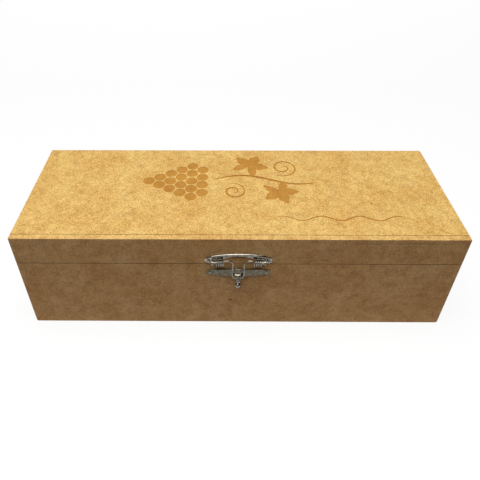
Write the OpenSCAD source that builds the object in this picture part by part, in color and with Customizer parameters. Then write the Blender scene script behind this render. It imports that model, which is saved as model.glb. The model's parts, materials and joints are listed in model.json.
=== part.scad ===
// A lidded fibreboard box for one bottle lying down: two trays of thin board, hinged at
// the back and held shut at the front by a sprung wire bail that hooks under a tongue.
// Millimetres. The origin is the middle of the underside, the long side runs along X,
// the front with its latch faces -Y, and Z is up.

/* [Box] */
// Outside length, along the long side
box_length = 350; // [300:1:420]
// Outside depth, from front to back
box_depth = 120; // [110:1:160]
// Outside height of the closed box
box_height = 100; // [96:1:140]
// Height of the lid, from the parting line to the top
lid_height = 26.5; // [20:0.5:34]
// Thickness of the fibreboard
board = 5; // [4:0.5:6]
// Radius to which the outer edges are sanded
eased_edge = 0.5; // [0.2:0.1:1]

/* [Bottle rests] */
// Diameter of the body of the bottle
bottle_body_d = 76; // [70:1:86]
// Diameter of the bottle's neck where it lies in its rest
bottle_neck_d = 30; // [26:1:36]
// Air between the bottle and a cut-out, on the radius
bottle_gap = 0.5; // [0.2:0.1:2]
// Height of the bottle's underside over the bottom board
bottle_lift = 5; // [3:0.5:8]
// From the left end's inside face to the middle of the rest under the body
body_rest_inset = 90; // [60:1:120]
// From the right end's inside face to the middle of the rest under the neck
neck_rest_inset = 75; // [50:1:110]

/* [Hinges] */
// From the middle of the box to the middle of each hinge
hinge_offset = 105; // [60:1:135]
// Length of a hinge along its pin
hinge_length = 25; // [20:1:36]
// Height of a leaf, from the pin's axis to its edge
hinge_leaf_height = 10; // [8.5:0.5:14]
// Thickness of a leaf
hinge_sheet = 0.8; // [0.6:0.1:1.1]
// Diameter of the hinge pin
hinge_pin_d = 1.9; // [1.6:0.1:2.4]
// Clearance of the pin in its knuckles, on the radius
hinge_pin_gap = 0.05; // [0.02:0.01:0.1]
// Number of knuckles on a hinge, counting both leaves
knuckle_count = 5; // [3:2:7]
// Gap between neighbouring knuckles
knuckle_gap = 0.2; // [0.1:0.05:0.4]
// From the back face to the nearest point of the knuckles
knuckle_standoff = 0.2; // [0.1:0.05:0.5]

/* [Nails] */
// Diameter of a nail's shank
nail_d = 1.1; // [0.8:0.1:1.4]
// Diameter of a nail's domed head
nail_head_d = 3; // [2.4:0.1:3.4]
// Height of a nail's domed head
nail_head_h = 0.8; // [0.5:0.1:1.1]
// Length of a nail under its head
nail_length = 4.2; // [3.2:0.1:4.4]

/* [Latch plate on the lid] */
// Height of the coils' axis and of the two nails over the parting line
latch_axis_height = 4.75; // [4.5:0.05:5.5]
// Height of the arch's crown over the parting line
arch_height = 11.4; // [11:0.1:12.5]
// How far the arch falls from its crown to its ends
arch_sag = 2.5; // [1.8:0.1:3]
// Width of the half-round bar of the arch
arch_bar = 2.8; // [2.4:0.1:3.2]
// Thickness of the plate behind the coils
latch_web = 0.5; // [0.4:0.05:0.6]
// How far the lower edge of that flat falls from its middle to the coils
web_fall = 2.8; // [2:0.1:3.2]
// Thickness of the ears that are nailed to the lid
latch_ear = 1.1; // [0.8:0.1:1.4]
// Radius of an ear's round end
latch_ear_r = 3.1; // [2.8:0.1:3.3]
// From a lug's outer face to the nail in its ear
latch_ear_reach = 2.4; // [2.3:0.1:4]
// Thickness of a lug that carries a coil's pin
lug_sheet = 0.9; // [0.7:0.1:1.2]
// Radius of a lug's nose round the pin
lug_r = 2.3; // [2:0.1:2.6]

/* [Sprung wire bail] */
// Diameter of the wire
wire_d = 1.2; // [1:0.05:1.3]
// Diameter of a coil, to the middle of the wire
coil_d = 4.5; // [4.3:0.1:4.8]
// Air between neighbouring turns
coil_air = 0.45; // [0.42:0.01:0.6]
// Number of turns in a coil
coil_turns = 3.5; // [2.5:1:5.5]
// From the lid's front face to the coils' axis
coil_out = 3.65; // [3.6:0.05:4.2]
// From the middle of the latch to the inner end of a coil
coil_inner_x = 11.9; // [11:0.1:14]
// Air between the wire's ends and the lugs
wire_end_gap = 0.25; // [0.15:0.05:0.5]
// Distance between the two legs of the bail
leg_spread = 8.8; // [8.6:0.1:10]
// Radius of the bend from a coil to a leg
leg_bend_r = 4; // [3:0.1:4.4]
// From the coils' axis down to the bottom of the bail
bail_drop = 18.7; // [18.3:0.05:20]
// Lean of the legs towards the box, in degrees
bail_lean = 1.5; // [0:0.1:1.8]

/* [Knob] */
// Height of the collar over the middle of the wire
knob_cap = 1.1; // [0.9:0.05:1.3]
// Radius of the collar round the wire
collar_r = 1.9; // [1.7:0.1:2.1]
// From the middle of the wire down to the middle of the bead
bead_drop = 2.9; // [2.7:0.1:3.1]
// Radius of the bead below the collar
bead_r = 2.1; // [2:0.1:2.5]
// Height of the bead
bead_h = 2.3; // [2.2:0.1:2.8]
// From the middle of the wire down to the middle of the ball
ball_drop = 7.8; // [7.2:0.1:8.2]
// Radius of the ball at the end
ball_r = 2.15; // [1.9:0.05:2.3]
// Radius of the necks between them
knob_neck_r = 1.1; // [0.9:0.1:1.3]

/* [Catch plate on the base] */
// Distance between the two nails
catch_span = 45.6; // [40:0.1:50]
// From the parting line down to the wing's top edge in the middle
catch_top_drop = 4.7; // [4.5:0.1:5.2]
// How far the wing's top edge falls from its middle to its ends
catch_fall = 1.8; // [1:0.1:2.2]
// Radius of the wing's round ends
catch_end_r = 3; // [2.6:0.1:3.1]
// Thickness of the wing's sheet
catch_sheet = 0.65; // [0.5:0.05:0.8]
// How far the wing stands out from the front in its middle
catch_bow = 2; // [1.6:0.05:2.1]
// From the parting line down to the top of the tongue
tongue_top_drop = 2.6; // [2.2:0.1:2.8]
// Thickness of the tongue
tongue_sheet = 0.8; // [0.7:0.05:0.9]
// Width of the tongue
tongue_w = 5.5; // [4.8:0.1:5.8]
// Radius of the tongue's bend over the top
tongue_bend_r = 1.75; // [1.6:0.05:1.85]
// Radius of the curl that the bail hooks under
curl_r = 2.2; // [2:0.05:2.4]
// From the front face to the middle of the curl
curl_out = 3.5; // [3.4:0.05:3.8]
// Air between the curl and the knob's collar
curl_gap = 0.4; // [0.3:0.05:0.6]

/* [Hidden] */
$fn = 48;
// Facets of the large arcs of the plates
BROAD_FN = 240;
// Overshoot of a cutter past the face that it opens
CUT = 1;

parting_z = box_height - lid_height;
front_y = -box_depth / 2;
back_y = box_depth / 2;
inner_length = box_length - 2 * board;
inner_depth = box_depth - 2 * board;

// The bottle's axis, and the two boards that it lies in
bottle_axis_z = board + bottle_lift + bottle_body_d / 2;
body_rest_x = -inner_length / 2 + body_rest_inset;
neck_rest_x = inner_length / 2 - neck_rest_inset;

// Hinges
knuckle_bore_r = hinge_pin_d / 2 + hinge_pin_gap;
knuckle_r = knuckle_bore_r + hinge_sheet;
hinge_y = back_y + knuckle_standoff + knuckle_r;
knuckle_pitch = (hinge_length + knuckle_gap) / knuckle_count;
leaf_start = knuckle_r + knuckle_gap;
pin_head_rim = 0.4;
pin_head_r = hinge_pin_d / 2 + pin_head_rim;
pin_head_h = 0.5;
hinge_nail_lift = 0.3;
hinge_nail_x = hinge_length / 4;
hinge_nail_z = (leaf_start + hinge_leaf_height) / 2 + hinge_nail_lift;

// A nail's hole holds its shank closely in the board and loosely in the metal
nail_board_gap = 0.02;
nail_metal_gap = 0.1;
nail_hole_spare = 0.2;

// Coils and wire
wire_r = wire_d / 2;
coil_r = coil_d / 2;
coil_pitch = wire_d + coil_air;
axis_y = front_y - coil_out;
axis_z = parting_z + latch_axis_height;
RINGS_PER_TURN = 8;
WIRE_SIDES = 6;
coil_exit_angle = 50;
coil_entry_angle = coil_exit_angle - 360 * coil_turns;
exit_bend_r = 1.5;
tail_bend_r = 0.9;
coil_outer_x = coil_inner_x + coil_turns * coil_pitch;

// Lugs, pins and ears
lug_inner_x = coil_outer_x + tail_bend_r + wire_d + wire_end_gap;
lug_outer_x = lug_inner_x + lug_sheet;
latch_nail_x = lug_outer_x + latch_ear_reach;
pin_air = 0.45;
coil_pin_r = coil_r - wire_r - pin_air;
pin_lug_gap = 0.02;
coil_pin_head = 0.3;
web_inset = 0.1;
web_inner_x = coil_inner_x + web_inset;
web_drop = 3;
web_open_z = arch_height - arch_bar;
web_open_r = (pow(web_inner_x, 2) + pow(web_fall, 2)) / (2 * web_fall);
hood_air = 0.45;
hood_r = coil_r + wire_r + hood_air;
hood_sheet = 0.6;
hood_inner_x = coil_inner_x + wire_r - web_inset;
hood_from = 95;
ear_neck_inset = 0.4;
arch_r = (pow(lug_outer_x, 2) + pow(arch_sag, 2)) / (2 * arch_sag);

// Bail, knob and curl, all hung from the coils' axis
leg_x = leg_spread / 2;
bail_bottom_z = axis_z - bail_drop;
knob_bore_gap = 0.06;
collar_h = 2.1;
curl_z = bail_bottom_z + knob_cap + curl_gap + curl_r;
tip_flare = 0.35;
tip_inset = 0.1;
tip_r = tongue_w / 2 + tip_flare;
tip_z = curl_z - curl_r + tip_r + tip_inset;
tongue_bend_out = catch_bow + tongue_bend_r - tongue_sheet;
tongue_bend_z = parting_z - tongue_top_drop - tongue_bend_r;
curl_open_from = 85;
curl_open_to = 245;
catch_nail_x = catch_span / 2;
catch_nail_drop = catch_top_drop + catch_fall + catch_end_r;

BOARD_COLOUR = "#C79A5A";
NICKEL = "#B9BAB4";
CHROME = "#D2D3D0";

// ---- Placing helpers ----

// Draws a section in the YZ plane and runs it along X, about the middle
module run_along_x(length) {
    rotate([90, 0, 90]) linear_extrude(length, center = true) children();
}

// Draws an outline as seen from the front, its origin at the parting line on the front
// face, and thickens it outwards
module on_front(thickness) {
    translate([0, front_y, parting_z]) rotate([90, 0, 0]) linear_extrude(thickness) children();
}

// Draws a section with X as the distance out from the front face and Y as the height
module out_of_front(length) {
    translate([0, front_y, 0]) mirror([0, 1, 0]) run_along_x(length) children();
}

// A rectangle about the origin with round corners
module round_rect(w, h, r) {
    square([w - 2 * r, h], center = true);
    square([w, h - 2 * r], center = true);
    for (x = [-1, 1], y = [-1, 1]) {
        translate([x * (w / 2 - r), y * (h / 2 - r)]) circle(r);
    }
}

// The part of a ring that an opening from one angle to another leaves
module open_ring(r, sheet, from, to) {
    difference() {
        circle(r);
        circle(r - sheet);
        polygon([
            [0, 0],
            for (k = [0:4]) 2 * r * [cos(from + (to - from) * k / 4), sin(from + (to - from) * k / 4)]
        ]);
    }
}

// ---- Boards ----

// A block of the box's outline between two heights, all its edges eased
module eased_block(from_z, to_z) {
    height = to_z - from_z;
    translate([0, 0, from_z + height / 2]) intersection() {
        linear_extrude(height, center = true) round_rect(box_length, box_depth, eased_edge);
        run_along_x(box_length) round_rect(box_depth, height, eased_edge);
        rotate([90, 0, 0]) linear_extrude(box_depth, center = true)
            round_rect(box_length, height, eased_edge);
    }
}

// A board between two corners, trimmed to the eased outline of its tray
module tray_board(low, high, from_z, to_z) {
    intersection() {
        translate(low) cube(high - low);
        eased_block(from_z, to_z);
    }
}

module base_board(low, high) {
    tray_board(low, high, 0, parting_z);
}

module lid_board(low, high) {
    tray_board(low, high, parting_z, box_height);
}

// The long walls run the full length and hide the edges of the panel between them
module long_wall(y, from_z, to_z) {
    tray_board([-box_length / 2, y, from_z], [box_length / 2, y + board, to_z], from_z, to_z);
}

module base_bottom() {
    color(BOARD_COLOUR)
        base_board([-box_length / 2, -inner_depth / 2, 0], [box_length / 2, inner_depth / 2, board]);
}

module base_front() {
    color(BOARD_COLOUR) difference() {
        long_wall(front_y, 0, parting_z);
        catch_nail_holes(nail_board_gap);
    }
}

module base_back() {
    color(BOARD_COLOUR) difference() {
        long_wall(back_y - board, 0, parting_z);
        for (side = [-1, 1]) hinge_nail_holes(side, -1, nail_board_gap);
    }
}

module base_end(side) {
    low_x = side < 0 ? -box_length / 2 : box_length / 2 - board;
    color(BOARD_COLOUR)
        base_board([low_x, -inner_depth / 2, board], [low_x + board, inner_depth / 2, parting_z]);
}

module base_left_end() {
    base_end(-1);
}

module base_right_end() {
    base_end(1);
}

module lid_top() {
    color(BOARD_COLOUR)
        lid_board([-box_length / 2, -inner_depth / 2, box_height - board],
                  [box_length / 2, inner_depth / 2, box_height]);
}

module lid_front() {
    color(BOARD_COLOUR) difference() {
        long_wall(front_y, parting_z, box_height);
        latch_nail_holes(nail_board_gap);
    }
}

module lid_back() {
    color(BOARD_COLOUR) difference() {
        long_wall(back_y - board, parting_z, box_height);
        for (side = [-1, 1]) hinge_nail_holes(side, 1, nail_board_gap);
    }
}

module lid_end(side) {
    low_x = side < 0 ? -box_length / 2 : box_length / 2 - board;
    color(BOARD_COLOUR)
        lid_board([low_x, -inner_depth / 2, parting_z],
                  [low_x + board, inner_depth / 2, box_height - board]);
}

module lid_left_end() {
    lid_end(-1);
}

module lid_right_end() {
    lid_end(1);
}

// A board across the base with half of the bottle's section cut from its top edge
module bottle_rest(x, bottle_d) {
    color(BOARD_COLOUR) translate([x, 0, 0]) run_along_x(board) difference() {
        translate([-inner_depth / 2, board]) square([inner_depth, bottle_axis_z - board]);
        translate([0, bottle_axis_z]) circle(bottle_d / 2 + bottle_gap, $fn = BROAD_FN);
    }
}

module body_rest() {
    bottle_rest(body_rest_x, bottle_body_d);
}

module neck_rest() {
    bottle_rest(neck_rest_x, bottle_neck_d);
}

// ---- Nails ----

// A domed nail along Z, the underside of its head at the origin
module nail() {
    dome_r = (pow(nail_head_d / 2, 2) + pow(nail_head_h, 2)) / (2 * nail_head_h);
    translate([0, 0, -nail_length]) cylinder(h = nail_length + nail_head_h / 2, d = nail_d);
    rotate_extrude() intersection() {
        translate([0, nail_head_h - dome_r]) circle(dome_r);
        square([nail_head_d / 2, nail_head_h]);
    }
}

// The hole for a nail along Z, open past both ends
module nail_hole(gap) {
    depth = nail_length + nail_hole_spare;
    translate([0, 0, -depth]) cylinder(h = depth + CUT, r = nail_d / 2 + gap);
}

module on_front_nail_spots(x, z, sheet) {
    for (side = [-1, 1]) {
        translate([side * x, front_y - sheet, z]) rotate([90, 0, 0]) children();
    }
}

module latch_nail_holes(gap) {
    on_front_nail_spots(latch_nail_x, axis_z, latch_ear) nail_hole(gap);
}

module catch_nail_holes(gap) {
    on_front_nail_spots(catch_nail_x, parting_z - catch_nail_drop, catch_sheet) nail_hole(gap);
}

module latch_plate_nails() {
    color(NICKEL) on_front_nail_spots(latch_nail_x, axis_z, latch_ear) nail();
}

module catch_plate_nails() {
    color(NICKEL)
        on_front_nail_spots(catch_nail_x, parting_z - catch_nail_drop, catch_sheet) nail();
}

// ---- Hinges: side is -1 for the left one, up is 1 for the lid's leaf ----

module on_hinge_nail_spots(side, up) {
    for (x = [-1, 1]) {
        translate([side * hinge_offset + x * hinge_nail_x, back_y + hinge_sheet,
                   parting_z + up * hinge_nail_z])
            rotate([-90, 0, 0]) children();
    }
}

module hinge_nail_holes(side, up, gap) {
    on_hinge_nail_spots(side, up) nail_hole(gap);
}

module hinge_nails(side, up) {
    color(NICKEL) on_hinge_nail_spots(side, up) nail();
}

// A knuckle rolled round the pin, with the strip that joins it to its leaf
module knuckle(up, width) {
    run_along_x(width) difference() {
        union() {
            circle(knuckle_r);
            translate([-(hinge_y - back_y), up > 0 ? 0 : -leaf_start - CUT])
                square([hinge_sheet, leaf_start + CUT]);
            translate([-(hinge_y - back_y), up > 0 ? 0 : -hinge_sheet])
                square([hinge_y - back_y - knuckle_bore_r, hinge_sheet]);
        }
        circle(knuckle_bore_r);
    }
}

// Knuckles are shared in turn: the base's leaf has the first and the last
module hinge_leaf(side, up) {
    first = up > 0 ? 1 : 0;
    color(NICKEL) translate([side * hinge_offset, 0, parting_z]) difference() {
        union() {
            translate([-hinge_length / 2, back_y, up > 0 ? leaf_start : -hinge_leaf_height])
                cube([hinge_length, hinge_sheet, hinge_leaf_height - leaf_start]);
            for (k = [first:2:knuckle_count - 1]) {
                translate([(k - (knuckle_count - 1) / 2) * knuckle_pitch, hinge_y, 0])
                    knuckle(up, knuckle_pitch - knuckle_gap);
            }
        }
        translate([-side * hinge_offset, 0, -parting_z])
            hinge_nail_holes(side, up, nail_metal_gap);
    }
}

module hinge_pin(side) {
    shank = hinge_length + 2 * knuckle_gap;
    color(NICKEL) translate([side * hinge_offset, hinge_y, parting_z]) rotate([0, 90, 0]) {
        cylinder(h = shank + 2 * pin_head_h, d = hinge_pin_d, center = true);
        for (end = [-1, 1]) {
            translate([0, 0, end * (shank + pin_head_h) / 2])
                cylinder(h = pin_head_h, r = pin_head_r, center = true);
        }
    }
}

module left_hinge_base_leaf() {
    hinge_leaf(-1, -1);
}

module left_hinge_lid_leaf() {
    hinge_leaf(-1, 1);
}

module left_hinge_pin() {
    hinge_pin(-1);
}

module left_hinge_base_nails() {
    hinge_nails(-1, -1);
}

module left_hinge_lid_nails() {
    hinge_nails(-1, 1);
}

module right_hinge_base_leaf() {
    hinge_leaf(1, -1);
}

module right_hinge_lid_leaf() {
    hinge_leaf(1, 1);
}

module right_hinge_pin() {
    hinge_pin(1);
}

module right_hinge_base_nails() {
    hinge_nails(1, -1);
}

module right_hinge_lid_nails() {
    hinge_nails(1, 1);
}

// ---- Latch plate: an arched bar, and at each end a lug, a hood and a nailed ear ----

module half_round_section(w) {
    intersection() {
        translate([w / 2, 0]) circle(w / 2);
        square([w, w / 2]);
    }
}

// Half of a dome, over the half-disc that ends a bar
module bar_end(r) {
    rotate_extrude(angle = 180) intersection() {
        circle(r);
        square(r);
    }
}

module arch() {
    half_angle = asin(lug_outer_x / arch_r);
    end_r = arch_bar / 2;
    translate([0, front_y, parting_z + arch_height - arch_r]) rotate([90, 0, 0]) {
        rotate([0, 0, 90 - half_angle])
            rotate_extrude(angle = 2 * half_angle, $fn = BROAD_FN)
            translate([arch_r - arch_bar, 0]) half_round_section(arch_bar);
        rotate([0, 0, 90 + half_angle]) translate([arch_r - end_r, 0, 0]) bar_end(end_r);
        rotate([0, 0, 90 - half_angle]) translate([arch_r - end_r, 0, 0])
            rotate([0, 0, 180]) bar_end(end_r);
    }
}

// The flat under the arched bar: narrow in the middle, and down behind both coils
module web_outline() {
    low = latch_axis_height - web_drop;
    difference() {
        intersection() {
            translate([-lug_outer_x, low]) square([2 * lug_outer_x, arch_height]);
            translate([0, arch_height - arch_r])
                circle(arch_r - arch_bar / 2, $fn = BROAD_FN);
        }
        translate([0, web_open_z - web_open_r]) circle(web_open_r, $fn = BROAD_FN);
        translate([-web_inner_x, low - CUT])
            square([2 * web_inner_x, web_open_z - web_fall - low + CUT]);
    }
}

module ear_outline() {
    neck_h = 2 * (latch_ear_r - ear_neck_inset);
    translate([latch_nail_x, latch_axis_height]) circle(latch_ear_r);
    translate([lug_inner_x, latch_axis_height - neck_h / 2])
        square([latch_nail_x - lug_inner_x, neck_h]);
}

// The lug stands out of the plate and takes the pin in its round nose
module lug_section() {
    difference() {
        union() {
            translate([coil_out, axis_z]) circle(lug_r);
            translate([0, axis_z - lug_r]) square([coil_out, 2 * lug_r]);
        }
        translate([coil_out, axis_z]) circle(coil_pin_r + pin_lug_gap);
    }
}

// The hood is a strip of the plate curled over the back of the coil
module hood_section() {
    translate([coil_out, axis_z]) intersection() {
        open_ring(hood_r + hood_sheet, hood_sheet, -180, hood_from);
        translate([-coil_out, 0]) square([2 * coil_out, hood_r + 2 * hood_sheet]);
    }
}

module latch_plate() {
    color(CHROME) difference() {
        union() {
            arch();
            on_front(latch_web) web_outline();
            for (side = [-1, 1]) {
                on_front(latch_ear) mirror([side < 0 ? 1 : 0, 0]) ear_outline();
                translate([side * (lug_inner_x + lug_sheet / 2), 0, 0])
                    out_of_front(lug_sheet) lug_section();
                translate([side * (hood_inner_x + lug_inner_x) / 2, 0, 0])
                    out_of_front(lug_inner_x - hood_inner_x) hood_section();
            }
        }
        latch_nail_holes(nail_metal_gap);
    }
}

// Each pin is riveted in its lug and carries one coil
module coil_pins() {
    length = lug_outer_x - coil_inner_x;
    color(NICKEL) for (side = [-1, 1]) {
        translate([side * (coil_inner_x + length / 2), axis_y, axis_z])
            rotate([0, side * 90, 0]) {
                cylinder(h = length, r = coil_pin_r, center = true);
                translate([0, 0, length / 2])
                    cylinder(h = coil_pin_head, r = coil_pin_r + coil_pin_head);
            }
    }
}

// ---- Sprung wire bail: one wire, coil - leg - bottom - leg - coil ----

function unit(v) = v / norm(v);

// Points of an arc that turns from one heading to another, without its first point
function arc_points(start, heading, turned, r, steps) =
    let (
        angle = acos(heading * turned),
        side = unit(turned - (heading * turned) * heading)
    )
    [for (k = [1:steps])
        start + r * (sin(angle * k / steps) * heading + (1 - cos(angle * k / steps)) * side)];

// The right coil, wound from its outer end towards the middle
function coil_point(angle) = [
    coil_inner_x + coil_pitch * (coil_exit_angle - angle) / 360,
    axis_y - coil_r * cos(angle),
    axis_z + coil_r * sin(angle)
];
function coil_heading(angle) =
    unit([-coil_pitch / (2 * PI), coil_r * sin(angle), coil_r * cos(angle)]);

INWARD = [-1, 0, 0];
DOWN_LEG = [0, sin(bail_lean), -cos(bail_lean)];
BEND_STEPS = 4;
LEG_BEND_STEPS = 6;
BOTTOM_STEPS = 6;

// Tail, coil, run, leg and half of the bottom bend, from the outer end to the middle
tail_bend = arc_points(coil_point(coil_entry_angle), -coil_heading(coil_entry_angle),
                       -INWARD, tail_bend_r, BEND_STEPS);
tail_end = tail_bend[BEND_STEPS - 1] - wire_d * INWARD;
coil_points = [for (k = [0:RINGS_PER_TURN * coil_turns])
    coil_point(coil_entry_angle + 360 * k / RINGS_PER_TURN)];
exit_bend = arc_points(coil_point(coil_exit_angle), coil_heading(coil_exit_angle),
                       INWARD, exit_bend_r, BEND_STEPS);
run_start = exit_bend[BEND_STEPS - 1];
run_end = [leg_x + leg_bend_r, run_start[1], run_start[2]];
leg_bend = arc_points(run_end, INWARD, DOWN_LEG, leg_bend_r, LEG_BEND_STEPS);
leg_start = leg_bend[LEG_BEND_STEPS - 1];
leg_length = (leg_start[2] - bail_bottom_z) / cos(bail_lean) - leg_x;
leg_end = leg_start + leg_length * DOWN_LEG;
bottom_bend = arc_points(leg_end, DOWN_LEG, INWARD, leg_x, BOTTOM_STEPS);
bail_bottom = bottom_bend[BOTTOM_STEPS - 1];

half_wire = concat(
    [tail_end],
    [for (k = [BEND_STEPS - 1:-1:0]) tail_bend[k]],
    coil_points,
    exit_bend,
    [run_end],
    leg_bend,
    [leg_end],
    bottom_bend
);
last_half = len(half_wire) - 1;
wire_points = concat(
    half_wire,
    [for (k = [last_half - 1:-1:0]) [-half_wire[k][0], half_wire[k][1], half_wire[k][2]]]
);

// Headings at the points, and a frame carried along so that the tube never twists
last_point = len(wire_points) - 1;
wire_headings = [for (k = [0:last_point])
    unit(wire_points[min(k + 1, last_point)] - wire_points[max(k - 1, 0)])];
function carried(side, heading) = unit(side - (side * heading) * heading);
wire_sides = [
    for (
        k = 0, side = carried([0, 0, 1], wire_headings[0]);
        k <= last_point;
        k = k + 1, side = k <= last_point ? carried(side, wire_headings[k]) : side
    ) side
];

// One closed tube of triangles along a list of points
module tube(points, headings, sides, r, count) {
    last = len(points) - 1;
    rings = [for (k = [0:last], s = [0:count - 1])
        points[k] + r * (cos(360 * s / count) * sides[k]
                         + sin(360 * s / count) * cross(headings[k], sides[k]))];
    skin = [for (k = [0:last - 1], s = [0:count - 1]) let (n = (s + 1) % count)
        each [[k * count + s, (k + 1) * count + s, (k + 1) * count + n],
              [k * count + s, (k + 1) * count + n, k * count + n]]];
    start_cap = [for (s = [1:count - 2]) [0, s, s + 1]];
    end_cap = [for (s = [1:count - 2])
        [last * count, last * count + s + 1, last * count + s]];
    polyhedron(points = rings, faces = concat(skin, start_cap, end_cap));
}

// The wire's least air to itself, between points that lie further apart along it than this
// many of its own thicknesses
NEAR_THICKNESSES = 4;
wire_lengths = [
    for (k = 0, run = 0; k <= last_point; k = k + 1,
         run = run + (k <= last_point ? norm(wire_points[k] - wire_points[k - 1]) : 0)) run
];
least_air = min([for (a = [0:last_half], b = [a + 1:last_point])
    if (wire_lengths[b] - wire_lengths[a] > NEAR_THICKNESSES * wire_d)
        norm(wire_points[b] - wire_points[a]) - wire_d]);
echo("Least air between the wire and itself, mm:", least_air);

module spring_bail() {
    color(CHROME) tube(wire_points, wire_headings, wire_sides, wire_r, WIRE_SIDES);
}

// ---- Knob: collar, bead and ball, turned as one, with the wire through its collar ----

module round_disc_section(r, h) {
    translate([0, -h / 2]) square([r - h / 2, h]);
    translate([r - h / 2, 0]) circle(h / 2);
}

module knob_section() {
    intersection() {
        union() {
            translate([0, knob_cap - collar_h / 2]) round_disc_section(collar_r, collar_h);
            translate([0, -ball_drop]) square([knob_neck_r, ball_drop]);
            translate([0, -bead_drop]) round_disc_section(bead_r, bead_h);
            translate([0, -ball_drop]) circle(ball_r);
        }
        translate([0, -2 * ball_drop]) square([2 * ball_r, 3 * ball_drop]);
    }
}

module bail_knob() {
    color(CHROME) translate(bail_bottom) rotate([-bail_lean, 0, 0]) difference() {
        rotate_extrude() knob_section();
        translate([0, 0, leg_x]) rotate([90, 0, 0]) rotate([0, 0, 180])
            rotate_extrude(angle = 180) translate([leg_x, 0]) circle(wire_r + knob_bore_gap);
    }
}

// ---- Catch plate: a bowed wing with a tongue bent over it and curled under ----

// The wing's upper edge is arched, its lower edge is straight and its ends are round
module wing_outline() {
    top_r = (pow(catch_nail_x, 2) + pow(catch_fall, 2)) / (2 * catch_fall);
    wing_h = catch_fall + 2 * catch_end_r;
    intersection() {
        translate([0, -catch_top_drop - top_r]) circle(top_r, $fn = BROAD_FN);
        translate([-catch_nail_x, -catch_top_drop - wing_h])
            square([2 * catch_nail_x, wing_h]);
    }
    for (side = [-1, 1]) {
        translate([side * catch_nail_x, -catch_nail_drop]) circle(catch_end_r);
    }
}

// All that lies behind the wing's bowed face
module behind_bow() {
    half_w = catch_nail_x - catch_end_r;
    rise = catch_bow - catch_sheet;
    bow_r = (pow(half_w, 2) + pow(rise, 2)) / (2 * rise);
    translate([0, front_y - catch_bow + bow_r, 0])
        cylinder(h = box_height, r = bow_r, $fn = BROAD_FN);
}

// The sheet lies flat at its nails and stands clear of the front between them
module wing() {
    difference() {
        union() {
            on_front(catch_sheet) wing_outline();
            intersection() {
                on_front(catch_bow) wing_outline();
                behind_bow();
            }
        }
        translate([0, catch_sheet, 0]) behind_bow();
    }
}

// The tongue from the side: up from the wing, over, down, and back round in a curl
module tongue_section() {
    back_x = tongue_bend_out - tongue_bend_r;
    front_x = tongue_bend_out + tongue_bend_r - tongue_sheet;
    foot_z = parting_z - catch_top_drop - tongue_bend_r;
    shin_z = curl_z + curl_r - tongue_sheet / 2;
    translate([tongue_bend_out, tongue_bend_z])
        open_ring(tongue_bend_r, tongue_sheet, -180, 0);
    translate([back_x, foot_z]) square([tongue_sheet, tongue_bend_z - foot_z]);
    translate([front_x, shin_z]) square([tongue_sheet, tongue_bend_z - shin_z]);
    translate([curl_out, curl_z])
        open_ring(curl_r, tongue_sheet, curl_open_from, curl_open_to);
}

// The tongue from the front: straight, then flared to the width of its round tip
module tongue_outline() {
    flare_z = tip_z - parting_z + tip_r;
    translate([0, tip_z - parting_z]) circle(tip_r);
    polygon([
        [-tip_r, tip_z - parting_z], [tip_r, tip_z - parting_z],
        [tongue_w / 2, flare_z], [tongue_w / 2, 0],
        [-tongue_w / 2, 0], [-tongue_w / 2, flare_z]
    ]);
}

module catch_plate() {
    color(CHROME) difference() {
        union() {
            wing();
            intersection() {
                out_of_front(2 * tip_r + CUT) tongue_section();
                on_front(coil_out + curl_out + curl_r) tongue_outline();
            }
        }
        catch_nail_holes(nail_metal_gap);
    }
}

base_bottom();
base_front();
base_back();
base_left_end();
base_right_end();
body_rest();
neck_rest();
lid_top();
lid_front();
lid_back();
lid_left_end();
lid_right_end();
latch_plate();
latch_plate_nails();
coil_pins();
spring_bail();
bail_knob();
catch_plate();
catch_plate_nails();
left_hinge_base_leaf();
left_hinge_lid_leaf();
left_hinge_pin();
left_hinge_base_nails();
left_hinge_lid_nails();
right_hinge_base_leaf();
right_hinge_lid_leaf();
right_hinge_pin();
right_hinge_base_nails();
right_hinge_lid_nails();
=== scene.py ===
# %% [markdown]
# # A lidded fibreboard bottle box
#
# The object is a long box for one bottle lying down. It is two shallow trays of 5 mm
# medium-density fibreboard, hinged at the back. At the front a sprung wire latch of thin
# plated steel holds the lid shut. The CAD model gives every place and size, in metres, with
# the origin under the middle of the box, the long side along X and the latch facing -Y.
# This script dresses it: real edges on the boards, an engraving, smooth bent wire and sheet.

# %% Load the frame
import json
import math

import bmesh
import bpy
from mathutils import Matrix, Vector


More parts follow.
